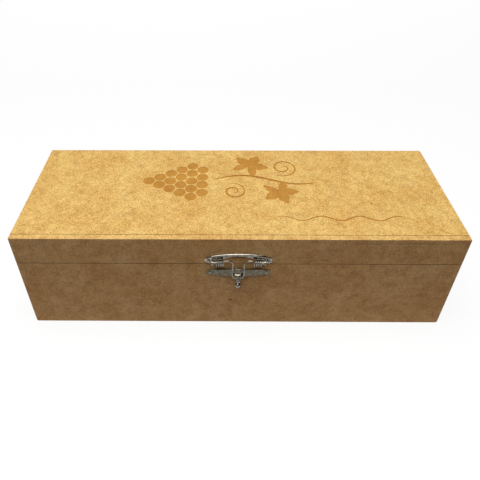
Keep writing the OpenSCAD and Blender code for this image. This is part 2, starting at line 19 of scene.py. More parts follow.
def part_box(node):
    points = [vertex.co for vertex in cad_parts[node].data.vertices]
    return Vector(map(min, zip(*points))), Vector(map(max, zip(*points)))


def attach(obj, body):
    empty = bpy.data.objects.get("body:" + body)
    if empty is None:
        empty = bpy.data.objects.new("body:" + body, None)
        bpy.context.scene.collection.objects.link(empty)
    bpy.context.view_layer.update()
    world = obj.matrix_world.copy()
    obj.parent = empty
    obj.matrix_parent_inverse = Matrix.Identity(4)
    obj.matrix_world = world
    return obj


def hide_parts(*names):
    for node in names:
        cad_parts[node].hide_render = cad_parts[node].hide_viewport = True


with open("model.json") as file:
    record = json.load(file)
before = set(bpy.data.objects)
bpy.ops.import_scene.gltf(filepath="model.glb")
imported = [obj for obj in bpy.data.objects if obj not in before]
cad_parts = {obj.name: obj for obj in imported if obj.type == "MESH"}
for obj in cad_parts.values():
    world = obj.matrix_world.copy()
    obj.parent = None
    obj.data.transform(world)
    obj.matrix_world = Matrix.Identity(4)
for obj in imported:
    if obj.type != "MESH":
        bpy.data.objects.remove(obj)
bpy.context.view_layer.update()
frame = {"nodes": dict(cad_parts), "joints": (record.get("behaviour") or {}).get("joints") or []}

# %% [markdown]
# ## The camera
#
# The picture was taken from above and in front, near enough for strong perspective. A camera
# is known by where it stands, which way it looks and how wide its lens is. These values make
# the box's corners fall where they do in the photograph. The shift moves the frame without
# turning the camera, as a view camera does, because the picture was trimmed off centre.

# %% Camera
MM = 0.001
CAMERA_PLACE = Vector((-13.72, -319.69, 355.60)) * MM
CAMERA_YAW, CAMERA_PITCH, CAMERA_ROLL = 0.527, 36.848, -0.168
LENS_MM, SENSOR_MM = 35.99, 36.0
CAMERA_SHIFT = (0.0467, -0.1363)

bpy.ops.object.select_all(action="DESELECT")
bpy.ops.object.camera_add()
camera = bpy.context.object
camera.data.lens, camera.data.sensor_width = LENS_MM, SENSOR_MM
camera.data.shift_x, camera.data.shift_y = CAMERA_SHIFT
camera.data.clip_start = 0.01
turn = Matrix.Rotation(math.radians(CAMERA_YAW), 4, "Z")
tip = Matrix.Rotation(math.radians(90 - CAMERA_PITCH), 4, "X")
roll = Matrix.Rotation(math.radians(CAMERA_ROLL), 4, "Z")
camera.matrix_world = Matrix.Translation(CAMERA_PLACE) @ turn @ tip @ roll
bpy.context.scene.camera = camera
print("camera at", [round(value, 3) for value in CAMERA_PLACE])

# %% [markdown]
# ## Helpers for modelling
#
# Pieces are modelled as they would be by hand: add a primitive, go into edit mode, select
# by place, use an operator. An operator works on everything that is selected, so each piece
# starts by deselecting all. Its place goes into its mesh at once, so that a point's numbers
# are always its place on the box.

# %% Modelling helpers
DOUBLED = 0.002 * MM
FLAT_WEIGHT = 80


def start(name, primitive, **settings):
    """Add one primitive under a name, with its place in its mesh."""
    bpy.ops.object.select_all(action="DESELECT")
    primitive(**settings)
    bpy.ops.object.transform_apply(location=True, rotation=True, scale=True)
    piece = bpy.context.object
    piece.name = piece.data.name = name
    return piece


def choose(piece):
    """Select one piece alone, and make it the active one."""
    bpy.ops.object.select_all(action="DESELECT")
    piece.select_set(True)
    bpy.context.view_layer.objects.active = piece


def edit(piece):
    """Work on one piece alone, in edit mode, with all of it selected."""
    choose(piece)
    bpy.ops.object.mode_set(mode="EDIT")
    bpy.ops.mesh.select_all(action="SELECT")


def leave():
    """Go back to object mode."""
    bpy.ops.object.mode_set(mode="OBJECT")


def pick(piece, kind, test):
    """Select the verts, edges or faces that pass a test, and say how many."""
    kinds = ("verts", "edges", "faces")
    bpy.context.tool_settings.mesh_select_mode = [kind == each for each in kinds]
    bpy.ops.mesh.select_all(action="DESELECT")
    mesh = bmesh.from_edit_mesh(piece.data)
    chosen = [item for item in getattr(mesh, kind) if test(item)]
    for item in chosen:
        item.select_set(True)
    bmesh.update_edit_mesh(piece.data)
    return len(chosen)


def block(name, low, high):
    """A block between its lowest and its highest corner."""
    low, high = Vector(low), Vector(high)
    return start(name, bpy.ops.mesh.primitive_cube_add, size=1, location=(low + high) / 2,
                 scale=high - low)


def middle(item):
    """The middle of an edge or a face."""
    return sum((vertex.co for vertex in item.verts), Vector()) / len(item.verts)


def push(vector):
    """Extrude what is selected along a vector."""
    bpy.ops.mesh.extrude_region_move(TRANSFORM_OT_translate={"value": vector})


def modify(piece, kind, **settings):
    """Add a modifier with its settings and apply it."""
    choose(piece)
    modifier = piece.modifiers.new(kind.lower(), kind)
    for setting, value in settings.items():
        setattr(modifier, setting, value)
    bpy.ops.object.modifier_apply(modifier=modifier.name)


def combine(piece, tool, operation="DIFFERENCE"):
    """Cut a piece with a tool, or keep what both share. The tool is used up."""
    modify(piece, "BOOLEAN", operation=operation, object=tool, solver="EXACT",
           use_self=True, material_mode="TRANSFER")
    bpy.data.objects.remove(tool)


def soften(piece, width, sharp=35):
    """Round the sharp edges of a piece by a width in mm, as tumbling or sanding does."""
    modify(piece, "BEVEL", width=width * MM, segments=2, limit_method="ANGLE",
           angle_limit=math.radians(sharp), use_clamp_overlap=True)


def tidy(piece):
    """Merge doubled points and turn all faces outwards."""
    edit(piece)
    bpy.ops.mesh.remove_doubles(threshold=DOUBLED)
    bpy.ops.mesh.select_all(action="SELECT")
    bpy.ops.mesh.normals_make_consistent(inside=False)
    leave()


def joined(name, pieces):
    """Make one object of several."""
    choose(pieces[0])
    for piece in pieces:
        piece.select_set(True)
    bpy.ops.object.join()
    pieces[0].name = pieces[0].data.name = name
    return pieces[0]


def dress(piece, material):
    """Give a piece one material alone."""
    piece.data.materials.clear()
    piece.data.materials.append(material)
    return piece


def hand_over(piece, body, slot, *nodes, smooth=30):
    """Shade a finished piece, its flats kept flat, and say what it rides on and replaces."""
    choose(piece)
    bpy.ops.object.shade_smooth_by_angle(angle=math.radians(smooth))
    modify(piece, "WEIGHTED_NORMAL", keep_sharp=True, weight=FLAT_WEIGHT)
    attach(piece, body)
    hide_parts(*nodes)
    print(piece.name, len(piece.data.polygons), "faces, on", body)


# %% [markdown]
# ## Helpers for materials
#
# Colours are written as sRGB hex, the way a colour picker shows them, but the renderer
# mixes light in linear values, so one function converts them. Another adds a shader node
# with its settings and its links in one line.

# %% Material helpers
def colour(hex_code):
    """Linear RGBA of an sRGB hex colour."""
    parts = [int(hex_code[k:k + 2], 16) / 255 for k in (1, 3, 5)]
    return [p / 12.92 if p <= 0.04045 else ((p + 0.055) / 1.055) ** 2.4 for p in parts] + [1]


def add(material, kind, settings, inputs):
    """Add a node. An input is given a value, or the socket that it is linked to."""
    tree = material.node_tree
    made = tree.nodes.new("ShaderNode" + kind)
    for setting, value in settings.items():
        setattr(made, setting, value)
    for name, value in inputs.items():
        if isinstance(value, bpy.types.NodeSocket):
            tree.links.new(value, made.inputs[name])
        else:
            made.inputs[name].default_value = value
    return made


def emptied(owner):
    """A material or a world with an empty tree."""
    owner.use_nodes = True
    owner.node_tree.nodes.clear()
    return owner


def new_material(name):
    """A material with an empty tree and the object's own coordinates, in millimetres."""
    material = emptied(bpy.data.materials.new(name))
    place = add(material, "TexCoord", {}, {}).outputs["Object"]
    in_mm = add(material, "Mapping", {}, {"Vector": place, "Scale": (1 / MM,) * 3})
    return material, in_mm.outputs[0]


def blend_colours(material, factor, first, second):
    """Mix two colours. Inputs 6 and 7 and output 2 are the mix node's colour sockets."""
    return add(material, "Mix", {"data_type": "RGBA"},
               {0: factor, 6: first, 7: second}).outputs[2]


def between(material, value, low, high, to_low=0.0, to_high=1.0):
    """Stretch a value's range from low and high to a new low and high."""
    return add(material, "MapRange", {}, {"Value": value, "From Min": low, "From Max": high,
                                          "To Min": to_low, "To Max": to_high}).outputs[0]


def work_out(material, operation, *values):
    """The result of a Math node. A value is a number or a socket."""
    return add(material, "Math", {"operation": operation}, dict(enumerate(values))).outputs[0]


def noise(material, place, size, detail, roughness, distortion=0.0):
    """A noise whose blobs are about a size in millimetres."""
    return add(material, "TexNoise", {}, {
        "Vector": place, "Scale": 1 / size, "Detail": detail, "Roughness": roughness,
        "Distortion": distortion}).outputs[0]


def finish_shader(material, settings, height, strength, distance):
    """End a material in one surface shader with a slight relief."""
    relief = add(material, "Bump", {}, {"Strength": strength, "Distance": distance * MM,
                                        "Height": height})
    shader = add(material, "BsdfPrincipled", {}, {**settings, "Normal": relief.outputs[0]})
    add(material, "OutputMaterial", {}, {"Surface": shader.outputs[0]})


# %% [markdown]
# ## Fibreboard
#
# The boards are raw medium-density fibreboard (MDF): wood fibres pressed with resin and
# sanded. It has no grain. What the eye sees is a soft cloudiness where the fibres are denser,
# a fine felt of short darker and lighter fibres, and now and then a dark speck of bark.
# Noise of four sizes gives the clouds and the felt. Each is laid over the tone below it, as
# a wash of paint is. A sparse Voronoi pattern gives the specks, and a stain is a blot with
# a ragged rim about one place on the box.

# %% Fibreboard material
CLOUD_MM, BLOTCH_MM, FIBRE_MM, FLECK_MM = 26.0, 7.0, 2.0, 0.85
SPECK_SPACING_MM, SPECK_CHANCE, SPECK_REACH = 11.0, 0.4, 0.06
STAIN_R_MM, STAIN_RAGGED_MM, STAIN_SHARE = 2.0, 3.0, 0.65
BOARD_SHEEN = {"Roughness": 0.82, "Specular IOR Level": 0.25}


def stained(material, mm, base, place, dark):
    """Blend a small dark blot into a colour."""
    ragged = noise(material, mm, STAIN_R_MM, 2.0, 0.6)
    far = add(material, "VectorMath", {"operation": "DISTANCE"}, {0: mm, 1: place})
    uneven = work_out(material, "MULTIPLY_ADD", ragged, STAIN_RAGGED_MM,
                      far.outputs["Value"])
    blot = between(material, uneven, STAIN_R_MM + STAIN_RAGGED_MM / 2,
                   STAIN_R_MM / 2 + STAIN_RAGGED_MM / 2, 0.0, STAIN_SHARE)
    return blend_colours(material, blot, base, dark)


def fibreboard(name, pale, plain, dark, speck, clouds=1.0, felt=1.0, stain=None):
    """Pressed and sanded wood fibre, with its soft clouds and its fine felt."""
    material, mm = new_material(name)
    pale, plain, dark, speck = (colour(code) for code in (pale, plain, dark, speck))
    cloud = noise(material, mm, CLOUD_MM, 3.0, 0.6, 0.4)
    blotch = noise(material, mm, BLOTCH_MM, 4.0, 0.7)
    fibre = noise(material, mm, FIBRE_MM, 3.0, 0.7, 1.2)
    fleck = noise(material, mm, FLECK_MM, 2.0, 0.6, 0.8)
    washes = [(cloud, 0.36, 0.66, clouds, plain),
              (blotch, 0.42, 0.72, 0.6 * clouds, dark),
              (fibre, 0.52, 0.72, 0.7 * felt, dark),
              (fleck, 0.46, 0.74, felt, dark),
              (fleck, 0.5, 0.3, 0.9 * felt, pale)]
    base = pale
    for pattern, none_at, full_at, strength, tone in washes:
        share = between(material, pattern, none_at, full_at, 0.0, strength)
        base = blend_colours(material, share, base, tone)
    cells = add(material, "TexVoronoi", {}, {"Vector": mm, "Scale": 1 / SPECK_SPACING_MM})
    chance = add(material, "SeparateColor", {}, {"Color": cells.outputs["Color"]})
    reach = between(material, chance.outputs[0], SPECK_CHANCE, 1.0, 0.0, SPECK_REACH)
    dot = work_out(material, "LESS_THAN", cells.outputs["Distance"], reach)
    base = blend_colours(material, dot, base, speck)
    if stain:
        base = stained(material, mm, base, stain, speck)
    finish_shader(material, {"Base Color": base, **BOARD_SHEEN}, fibre, 0.25, 0.1)
    return material


FACE_TONES = ("#F2CD7E", "#E2B463", "#A87836", "#5E3C1E")
# The fronts lie in shade: their own tones and their weaker felt are a shaded copy of the board,
# painted shade.
SHADY_TONES = ("#EDC484", "#DAA968", "#AA7742", "#5E3C1E")
STAIN_PLACE = (-5.9, -60.0, 29.7)
board_face = fibreboard("sanded_fibreboard", *FACE_TONES)
upright_face = fibreboard("handled_fibreboard", *SHADY_TONES, 1.1, 0.75)
marked_face = fibreboard("stained_fibreboard", *SHADY_TONES, 1.1, 0.75, STAIN_PLACE)
board_edge = fibreboard("sawn_fibreboard_edge", "#F2CC80", "#E2B366", "#A87838", "#5E3C1E")
# The joint and rim tones are dark painted shade, standing for the shadow in the gaps.
joint_shade_board = fibreboard("dark_fibreboard_joint", "#94692F", "#855C2B", "#6E4A22", "#3A2614")
parting_shade_board = fibreboard("grimy_fibreboard_rim", "#4A3218", "#442D16", "#3A2614", "#2A1B0E")
burnt_board = fibreboard("burnt_fibreboard", "#C9923F", "#BD8536", "#9A6826", "#5A3A1C",
                         0.8, 0.6)
# The split's dark tones are painted shade for the shadow inside a hairline split.
split_shade_board = fibreboard("split_fibreboard", "#6E4E2C", "#5E4226", "#49331E", "#2E2014",
                         0.6, 0.6)
print("fibreboard materials:", board_face.name, board_edge.name, burnt_board.name)

# %% [markdown]
# ## Plated steel
#
# The latch is thin steel, barrel-plated with nickel over an unpolished sheet: bright where
# it turns to the light, and else a dark olive grey, a tone darker than the plating, which is
# a painted reflection of dark surroundings. The hinges and the nails have the same plating, a
# little duller. A metal's colour is in its reflection, so the metallic value is 1. A noise
# mixes a darker and a lighter tone, a painted patchy reflection, and makes some patches
# rougher than others, as handling does.

# %% Plated steel materials
HANDLING_AND_REFLECTION_MM = 2.2


def plated_steel(name, dark, light, shine, smudge=0.1):
    """Plating over rolled sheet or drawn wire, its dark tones clouded as a painted reflection,
    and rougher where handled.
    """
    material, mm = new_material(name)
    smears_and_reflections = noise(material, mm, HANDLING_AND_REFLECTION_MM, 4.0, 0.65)
    painted_reflection_share = between(material, smears_and_reflections, 0.35, 0.65)
    tone = blend_colours(material, painted_reflection_share, colour(dark), colour(light))
    rough = between(material, smears_and_reflections, 0.3, 0.7, shine, shine + smudge)
    finish_shader(material, {"Base Color": tone, "Metallic": 1.0, "Roughness": rough},
                  smears_and_reflections, 0.05, 0.05)
    return material


# All three have dark tones, a painted reflection of dark surroundings; the catch plate's are
# darkest.
bright_steel = plated_steel("bright_plated_steel", "#524D42", "#A39D92", 0.05, 0.05)
dull_painted_dark_steel = plated_steel("dull_plated_steel", "#464135", "#706A5B", 0.07)
nickel_steel = plated_steel("nickel_plated_steel", "#5A554A", "#827C6F", 0.1)
print("metals:", bright_steel.name, dull_painted_dark_steel.name, nickel_steel.name)

# %% [markdown]
# ## The boards
#
# Each tray has a front and a back wall that run its full length, two end walls and a flat
# panel between them. In the photograph a fine line runs along the lid, one board's thickness
# behind the front edge: that is the joint between the lid's panel and its front wall. So
# each board is a block with its own edges. Where two outer faces of the tray meet, the edge
# was sanded round to 0.35 mm, and the box's lowest corners are worn rounder. Every other edge
# only lost its burr, also where the box was sawn in two to part the lid. That fine groove
# gets a dark material, painted shade for the shadow in the gap, which draws the joint lines
# and the parting line. Only the joint along the back of the lid is too tight to show.

# %% Boards
SANDED_R, BURR_R, WORN_R = 0.35 * MM, 0.22 * MM, 1.6 * MM
TOUCH, SQUARE_EDGE = 0.01 * MM, math.radians(60)
FACE_SLOT, EDGE_SLOT, GAP_SHADE_SLOT = range(3)
BOX_HALF, PARTING_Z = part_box("base_front")[1].xz
TOP_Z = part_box("lid_top")[1][2]
TRAYS = {"base": ["base_bottom", "base_front", "base_back", "base_left_end", "base_right_end"],
         "lid": ["lid_top", "lid_front", "lid_back", "lid_left_end", "lid_right_end"]}


def tray_corners(nodes):
    """The lowest and the highest corner of a tray."""
    lows, highs = zip(*(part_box(node) for node in nodes))
    return [min(column) for column in zip(*lows)], [max(column) for column in zip(*highs)]


def is_outer(face, low, high):
    """Whether a board's face lies in an outer plane of its tray, the sawn rim left out."""
    place = middle(face)
    side = max(range(3), key=lambda k: abs(face.normal[k]))
    plane = high[side] if face.normal[side] > 0 else low[side]
    on_rim = side == 2 and abs(place.z - PARTING_Z) < TOUCH
    return abs(place[side] - plane) < TOUCH and not on_rim


def is_low_corner(edge):
    """Whether an edge runs along Y at the foot of one of the box's two ends."""
    place = middle(edge)
    along_y = abs(edge.verts[0].co.y - edge.verts[1].co.y) > TOUCH
    return along_y and place.z < TOUCH and BOX_HALF - abs(place.x) < TOUCH


def is_tight_joint(edge):
    """Whether an edge lies in the joint along the back of the lid, which shows no line."""
    place = middle(edge)
    return place.y > 0 and abs(place.z - TOP_Z) < TOUCH


def board(node, low, high, groove):
    """One board as a block, its outer edges sanded, and grooves along the others in painted
    shade.
    """
    near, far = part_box(node)
    piece = block(node + "_board", near, far)
    thin = min(range(3), key=lambda k: (far - near)[k])
    for material in (board_face, board_edge, groove):
        piece.data.materials.append(material)
    edit(piece)
    if pick(piece, "edges", is_low_corner):
        bpy.ops.mesh.bevel(offset=WORN_R, segments=5)
    pick(piece, "edges", lambda edge: edge.calc_face_angle() > SQUARE_EDGE
         and all(is_outer(face, low, high) for face in edge.link_faces))
    bpy.ops.mesh.bevel(offset=SANDED_R, segments=3)
    pick(piece, "edges", lambda edge: edge.calc_face_angle() > SQUARE_EDGE
         and not is_tight_joint(edge))
    bpy.ops.mesh.bevel(offset=BURR_R, segments=1, material=GAP_SHADE_SLOT)
    leave()
    for face in piece.data.polygons:
        if face.material_index != GAP_SHADE_SLOT:
            broad = abs(face.normal[thin]) > 0.5
            face.material_index = FACE_SLOT if broad else EDGE_SLOT
    return piece


boards = {}
for body, nodes in TRAYS.items():
    low, high = tray_corners(nodes)
    for node in nodes:
        boards[node] = board(node, low, high, parting_shade_board if body == "base" else joint_shade_board)
# Both fronts take the shade-toned copy, painted shade; the base front also carries a real stain.
boards["lid_front"].data.materials[FACE_SLOT] = upright_face
boards["base_front"].data.materials[FACE_SLOT] = marked_face
print("boards:", len(boards))

# %% [markdown]
# ## Places on the latch
#
# The latch is drawn from three numbers: across the box from its middle, out from the front
# face, and up from the parting line. One function turns them into a place. The front face
# and the coils' axis come from the frame itself.

# %% Places on the front
FRONT_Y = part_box("lid_front")[0][1]
JOINTS = {joint["name"]: joint for joint in frame["joints"]}
AXIS = Vector(JOINTS["latch_swing"]["pos_m"])
COIL_OUT = (FRONT_Y - AXIS[1]) / MM
COIL_UP = (AXIS[2] - PARTING_Z) / MM


def at(across, out, up):
    """A place by millimetres from the middle, out from the front and up from the parting."""
    return Vector((across * MM, FRONT_Y - out * MM, PARTING_Z + up * MM))


def toward(across, out, up):
    """A direction or a step in the same terms."""
    return Vector((across * MM, -out * MM, up * MM))


print("coil axis out", round(COIL_OUT, 2), "up", round(COIL_UP, 2))

# %% [markdown]
# ## A round bar along a path
#
# Wire, a carved line and the latch plate's rolled rim are all a round section drawn along
# a path. A curve with a bevel depth does that, and each point's radius can shrink to a tip.

# %% Drawn bar
def drawn(name, places, radius, taper=None, resolution=3):
    """A closed round bar along places, each with its share of the radius."""
    path = bpy.data.curves.new(name, "CURVE")
    path.dimensions = "3D"
    path.bevel_depth, path.bevel_resolution = radius, resolution
    path.use_fill_caps = True
    line = path.splines.new("POLY")
    line.points.add(len(places) - 1)
    for k, place in enumerate(places):
        line.points[k].co = (*place, 1)
        line.points[k].radius = taper[k] if taper else 1
    piece = bpy.data.objects.new(name, path)
    bpy.context.collection.objects.link(piece)
    choose(piece)
    bpy.ops.object.convert(target="MESH")
    piece.data.name = name
    tidy(piece)
    return piece


# %% [markdown]
# ## The engraving on the lid
#
# Such a box carries a laser engraving on its lid. This one is a plain vine sprig: a bunch
# of round berries, two leaves and a curling stem. A laser burns a shallow flat pocket, so
# each shape is a cutter, and a boolean sinks it 0.3 mm into the board. The cutter's browner
# material comes along on the floor of the pocket.

# %% Engraving
ENGRAVED_DEPTH = 0.3 * MM
SPRIG = Vector((-30, 12)) * MM
BERRY_R, BERRY_PITCH = 5.0 * MM, 10.8 * MM
BERRY_ROWS, ROW_ANGLE = (4, 5, 4, 3, 2, 1), math.radians(60)
LEAF_MEAN, LEAF_LOBES, LEAF_TEETH, STALK_NOTCH, NOTCH_POWER = 0.70, 0.20, 0.05, 0.75, 16
LINE_FULLNESS, STROKE_TIP, CURL_STEPS = 0.6, 0.3, 24


def engraver(piece):
    """Give a cutter the burnt material."""
    return dress(piece, burnt_board)


def berry(x, y):
    """A round cutter for one berry."""
    return engraver(start("berry", bpy.ops.mesh.primitive_cylinder_add, vertices=28,
                          radius=BERRY_R, depth=2 * ENGRAVED_DEPTH, location=(x, y, TOP_Z)))


def berries():
    """Rows of berries, the bunch lying along X with its tip to the left."""
    made = []
    for row, count in enumerate(BERRY_ROWS):
        x = SPRIG.x - row * BERRY_PITCH * math.sin(ROW_ANGLE)
        for k in range(count):
            made.append(berry(x, SPRIG.y + (k - (count - 1) / 2) * BERRY_PITCH))
    return made


def leaf(x, y, size, heading):
    """A lobed leaf: a disc whose rim moves in and out, deepest at the stalk."""
    piece = start("leaf", bpy.ops.mesh.primitive_cylinder_add, vertices=90, radius=1,
                  depth=2 * ENGRAVED_DEPTH, location=(0, 0, TOP_Z))
    for vertex in piece.data.vertices:
        angle = math.atan2(vertex.co.y, vertex.co.x)
        lobes = (LEAF_MEAN + LEAF_LOBES * math.cos(5 * angle)
                 + LEAF_TEETH * math.cos(15 * angle))
        stalk = 1 - STALK_NOTCH * max(0, math.cos(angle + math.pi)) ** NOTCH_POWER
        reach = size * lobes * stalk
        vertex.co.x = x + reach * math.cos(angle + heading)
        vertex.co.y = y + reach * math.sin(angle + heading)
    return engraver(piece)


def swelling(count, least):
    """Shares of a radius that swells in the middle of a line and runs out at its ends."""
    return [least + (1 - least) * max(math.sin(math.pi * k / count), 0) ** LINE_FULLNESS
            for k in range(count + 1)]


def stroke(places, width):
    """An engraved line with tapering ends."""
    shares = swelling(len(places) - 1, STROKE_TIP)
    return engraver(drawn("stroke", places, width / 2, shares))


def curl(x, y, radius, from_angle, turns, shrink):
    """Places along a tendril that winds in on itself."""
    steps = round(CURL_STEPS * abs(turns))
    places = []
    for k in range(steps + 1):
        angle = from_angle + 2 * math.pi * turns * k / steps
        reach = radius * (1 - shrink * k / steps)
        places.append((x + reach * math.cos(angle), y + reach * math.sin(angle), TOP_Z))
    return places


def wave(first_x, step, y, height, period, count):
    """Places along a line that rises and falls evenly."""
    return [(first_x + k * step * MM, y + height * MM * math.sin(k / period), TOP_Z)
            for k in range(count)]


# Across and up from the stem, then size and heading, or radius, first angle, turns, width
STEM_Y = SPRIG.y + 2 * MM
STEM_W, RUNNER_W, CURL_SHRINK = 2.4 * MM, 1.3 * MM, 0.8
LEAVES = ((42, 21, 18, 60), (66, -17, 17, -70))
TENDRILS = ((72, 18, 13, -2.2, 1.6, 1.7), (27, -16, 11, 1.9, -1.5, 1.6))

sprig = berries()
sprig.append(stroke(wave(SPRIG.x + 9 * MM, 3.2, STEM_Y, 6, 5, 29), STEM_W))
for across, up, size, heading in LEAVES:
    sprig.append(leaf(SPRIG.x + across * MM, STEM_Y + up * MM, size * MM,
                      math.radians(heading)))
for across, up, radius, angle, turns, width in TENDRILS:
    places = curl(SPRIG.x + across * MM, STEM_Y + up * MM, radius * MM, angle, turns,
                  CURL_SHRINK)
    sprig.append(stroke(places, width * MM))
sprig.append(stroke(wave(28 * MM, 2.2, -36 * MM, 2.6, 2.2, 52), RUNNER_W))
combine(boards["lid_top"], joined("engraving", sprig))
print("engraved lid:", len(boards["lid_top"].data.polygons), "faces")

# %% [markdown]
# ## Small splits
#
# Raw board opens a little where a pin was driven near its edge: a hairline runs along the
# front of the lid just under its top edge, and a short one shows at the lid's right front
# corner. Each is a thin tapering cutter along a slightly wandering line, and its dark
# material is painted shade for the shadow inside the split.

# %% Splits
SPLIT_W, SPLIT_TIP = 0.32 * MM, 0.15


def split(board_piece, first, last, sway, count):
    """Open a hairline split in a board, straying sideways by a smooth sum of sines."""
    places = []
    for k in range(count + 1):
        stray = math.sin(k * 0.9) + 0.6 * math.sin(k * 2.3 + 1)
        places.append(Vector(first).lerp(Vector(last), k / count) + Vector(sway) * stray)
    sliver = drawn("split", places, SPLIT_W / 2, swelling(count, SPLIT_TIP), 1)
    combine(board_piece, dress(sliver, split_shade_board))


split(boards["lid_front"], (85 * MM, FRONT_Y, TOP_Z - 4.2 * MM),
      (165 * MM, FRONT_Y, TOP_Z - 3.8 * MM), (0, 0, 0.1 * MM), 26)
split(boards["lid_top"], (152 * MM, FRONT_Y + 13 * MM, TOP_Z),
      (162 * MM, FRONT_Y + 6 * MM, TOP_Z), (0.15 * MM, 0.15 * MM, 0), 10)
for body, nodes in TRAYS.items():
    for node in nodes:
        hand_over(boards[node], body, "fibreboard", node)

# %% [markdown]
# ## The bottle rests
#
# Two cross boards inside the base hold the bottle, each with half of its section cut out.
# The CAD solid already has the right outline, so it stays and only gets the material.

# %% Bottle rests
for node in ("body_rest", "neck_rest"):
    for material_slot in frame["nodes"][node].material_slots:
        material_slot.material = board_face
    print(node, "in", board_face.name)

# %% [markdown]
# ## The sprung wire bail
#
# One piece of 1.2 mm spring wire makes both coils, both legs and the loop under the hook.
# On a bench it is wound on a pin and bent round pegs, so its middle line is straights, arcs
# of known radius and two helices. The line is worked out from those and drawn as a bar.

# %% Wire sizes and its middle line
WIRE_R = 0.6
COIL_R, COIL_PITCH, COIL_TURNS, COIL_INNER = 2.25, 1.65, 3.5, 11.9
COIL_EXIT = math.radians(50)
EXIT_BEND_R, TAIL_BEND_R, LEG_BEND_R, LEG_X = 1.5, 0.9, 4.0, 4.4
BAIL_DROP, BAIL_LEAN = 18.7, math.radians(1.5)
STEPS_PER_TURN, BEND_STEPS = 32, 8
INWARD, DOWN = Vector((-1, 0, 0)), Vector((0, -math.sin(BAIL_LEAN), -math.cos(BAIL_LEAN)))


def coil_place(angle):
    """A point of the right coil, as across, out and up."""
    across = COIL_INNER + COIL_PITCH * (COIL_EXIT - angle) / (2 * math.pi)
    return Vector((across, COIL_OUT + COIL_R * math.cos(angle),
                   COIL_UP + COIL_R * math.sin(angle)))


def coil_heading(angle):
    """The wire's direction at a point of the right coil."""
    return Vector((-COIL_PITCH / (2 * math.pi), -COIL_R * math.sin(angle),
                   COIL_R * math.cos(angle))).normalized()


def bend(begin, heading, turned, radius, steps=BEND_STEPS):
    """Points of an arc from one heading to another."""
    angle = heading.angle(turned)
    side = (turned - heading.dot(turned) * heading).normalized()
    return [begin + radius * (math.sin(angle * k / steps) * heading
                              + (1 - math.cos(angle * k / steps)) * side)
            for k in range(1, steps + 1)]


def half_wire():
    """The right half, from its outer tail to the middle of the loop."""
    entry = COIL_EXIT - 2 * math.pi * COIL_TURNS
    tail = bend(coil_place(entry), -coil_heading(entry), -INWARD, TAIL_BEND_R)
    tail.append(tail[-1] - 2 * WIRE_R * INWARD)
    steps = round(STEPS_PER_TURN * COIL_TURNS)
    coil = [coil_place(entry + 2 * math.pi * COIL_TURNS * k / steps)
            for k in range(steps + 1)]
    run = bend(coil[-1], coil_heading(COIL_EXIT), INWARD, EXIT_BEND_R)
    run.append(Vector((LEG_X + LEG_BEND_R, run[-1].y, run[-1].z)))
    leg = bend(run[-1], INWARD, DOWN, LEG_BEND_R)
    loop_up = COIL_UP - BAIL_DROP
    length = (leg[-1].z - loop_up) / math.cos(BAIL_LEAN) - LEG_X
    leg.append(leg[-1] + length * DOWN)
    loop = bend(leg[-1], DOWN, INWARD, LEG_X, 2 * BEND_STEPS)
    return tail[::-1] + coil + run + leg + loop


# %% Spring bail
right_half = half_wire()
left_half = [Vector((-point.x, point.y, point.z)) for point in right_half[-2::-1]]
wire = drawn("bail_wire", [at(*point) for point in right_half + left_half], WIRE_R * MM)
hand_over(dress(wire, bright_steel), "bail", "bright_plating", "spring_bail", smooth=60)
loop_bottom = right_half[-1]

# %% [markdown]
# ## Turned pieces
#
# Nails, pins and the bail's knob are turned or headed, so each is a stack of rings about an
# axis: a circle, extruded ring by ring, each ring scaled to its radius. It is built upright
# at the origin and then set in its place.

# %% Turned pieces
EDGE_R, SHEET_EDGE_R = 0.12, 0.16
LEAST_R, POLE = 0.02, 89


def turned(name, rings, place, direction, sides=32):
    """A piece of rings (radius, height) in millimetres, its +Z laid along a direction."""
    first_r, first_h = rings[0]
    piece = start(name, bpy.ops.mesh.primitive_circle_add, vertices=sides,
                  radius=first_r * MM, fill_type="NGON", location=(0, 0, first_h * MM))
    edit(piece)
    for (last_r, last_h), (r, h) in zip(rings, rings[1:]):
        push((0, 0, (h - last_h) * MM))
        scale = (r / last_r, r / last_r, 1)
        bpy.ops.transform.resize(value=scale, center_override=(0, 0, h * MM))
    leave()
    piece.rotation_euler = Vector(direction).to_track_quat("Z", "Y").to_euler()
    piece.location = place
    piece.select_set(True)
    bpy.ops.object.transform_apply(location=True, rotation=True, scale=True)
    tidy(piece)
    return piece


def ball_rings(radius, height, centre, from_angle, to_angle, steps):
    """Rings of a ball or a bead, by its radius across and half its height."""
    angles = [math.radians(from_angle + (to_angle - from_angle) * k / steps)
              for k in range(steps + 1)]
    return [(max(radius * math.cos(angle), LEAST_R), centre + height * math.sin(angle))
            for angle in angles]


# %% [markdown]
# ## The knob
#
# The knob under the loop is cast in one piece: a collar round the wire, a bead close below it
# and a ball. The rings follow three round outlines with a thin neck between them.

# %% Knob
COLLAR_R, COLLAR_TOP, COLLAR_H = 1.7, 1.1, 1.4
BEAD_R, BEAD_H, BEAD_DROP = 2.2, 2.9, 1.75
BALL_R, BALL_DROP, NECK_R = 2.35, 7.7, 0.7
RIM_TO, RIM_STEPS, BALL_STEPS = 80, 12, 16


def rounded_rings(radius, height, centre):
    """A disc with a round rim, from below to above, ending at the neck."""
    rim = height / 2
    rings = ball_rings(rim, rim, centre, -RIM_TO, RIM_TO, RIM_STEPS)
    return [(NECK_R, centre - rim)] + [(radius - rim + r, h) for r, h in rings] + [
        (NECK_R, centre + rim)]


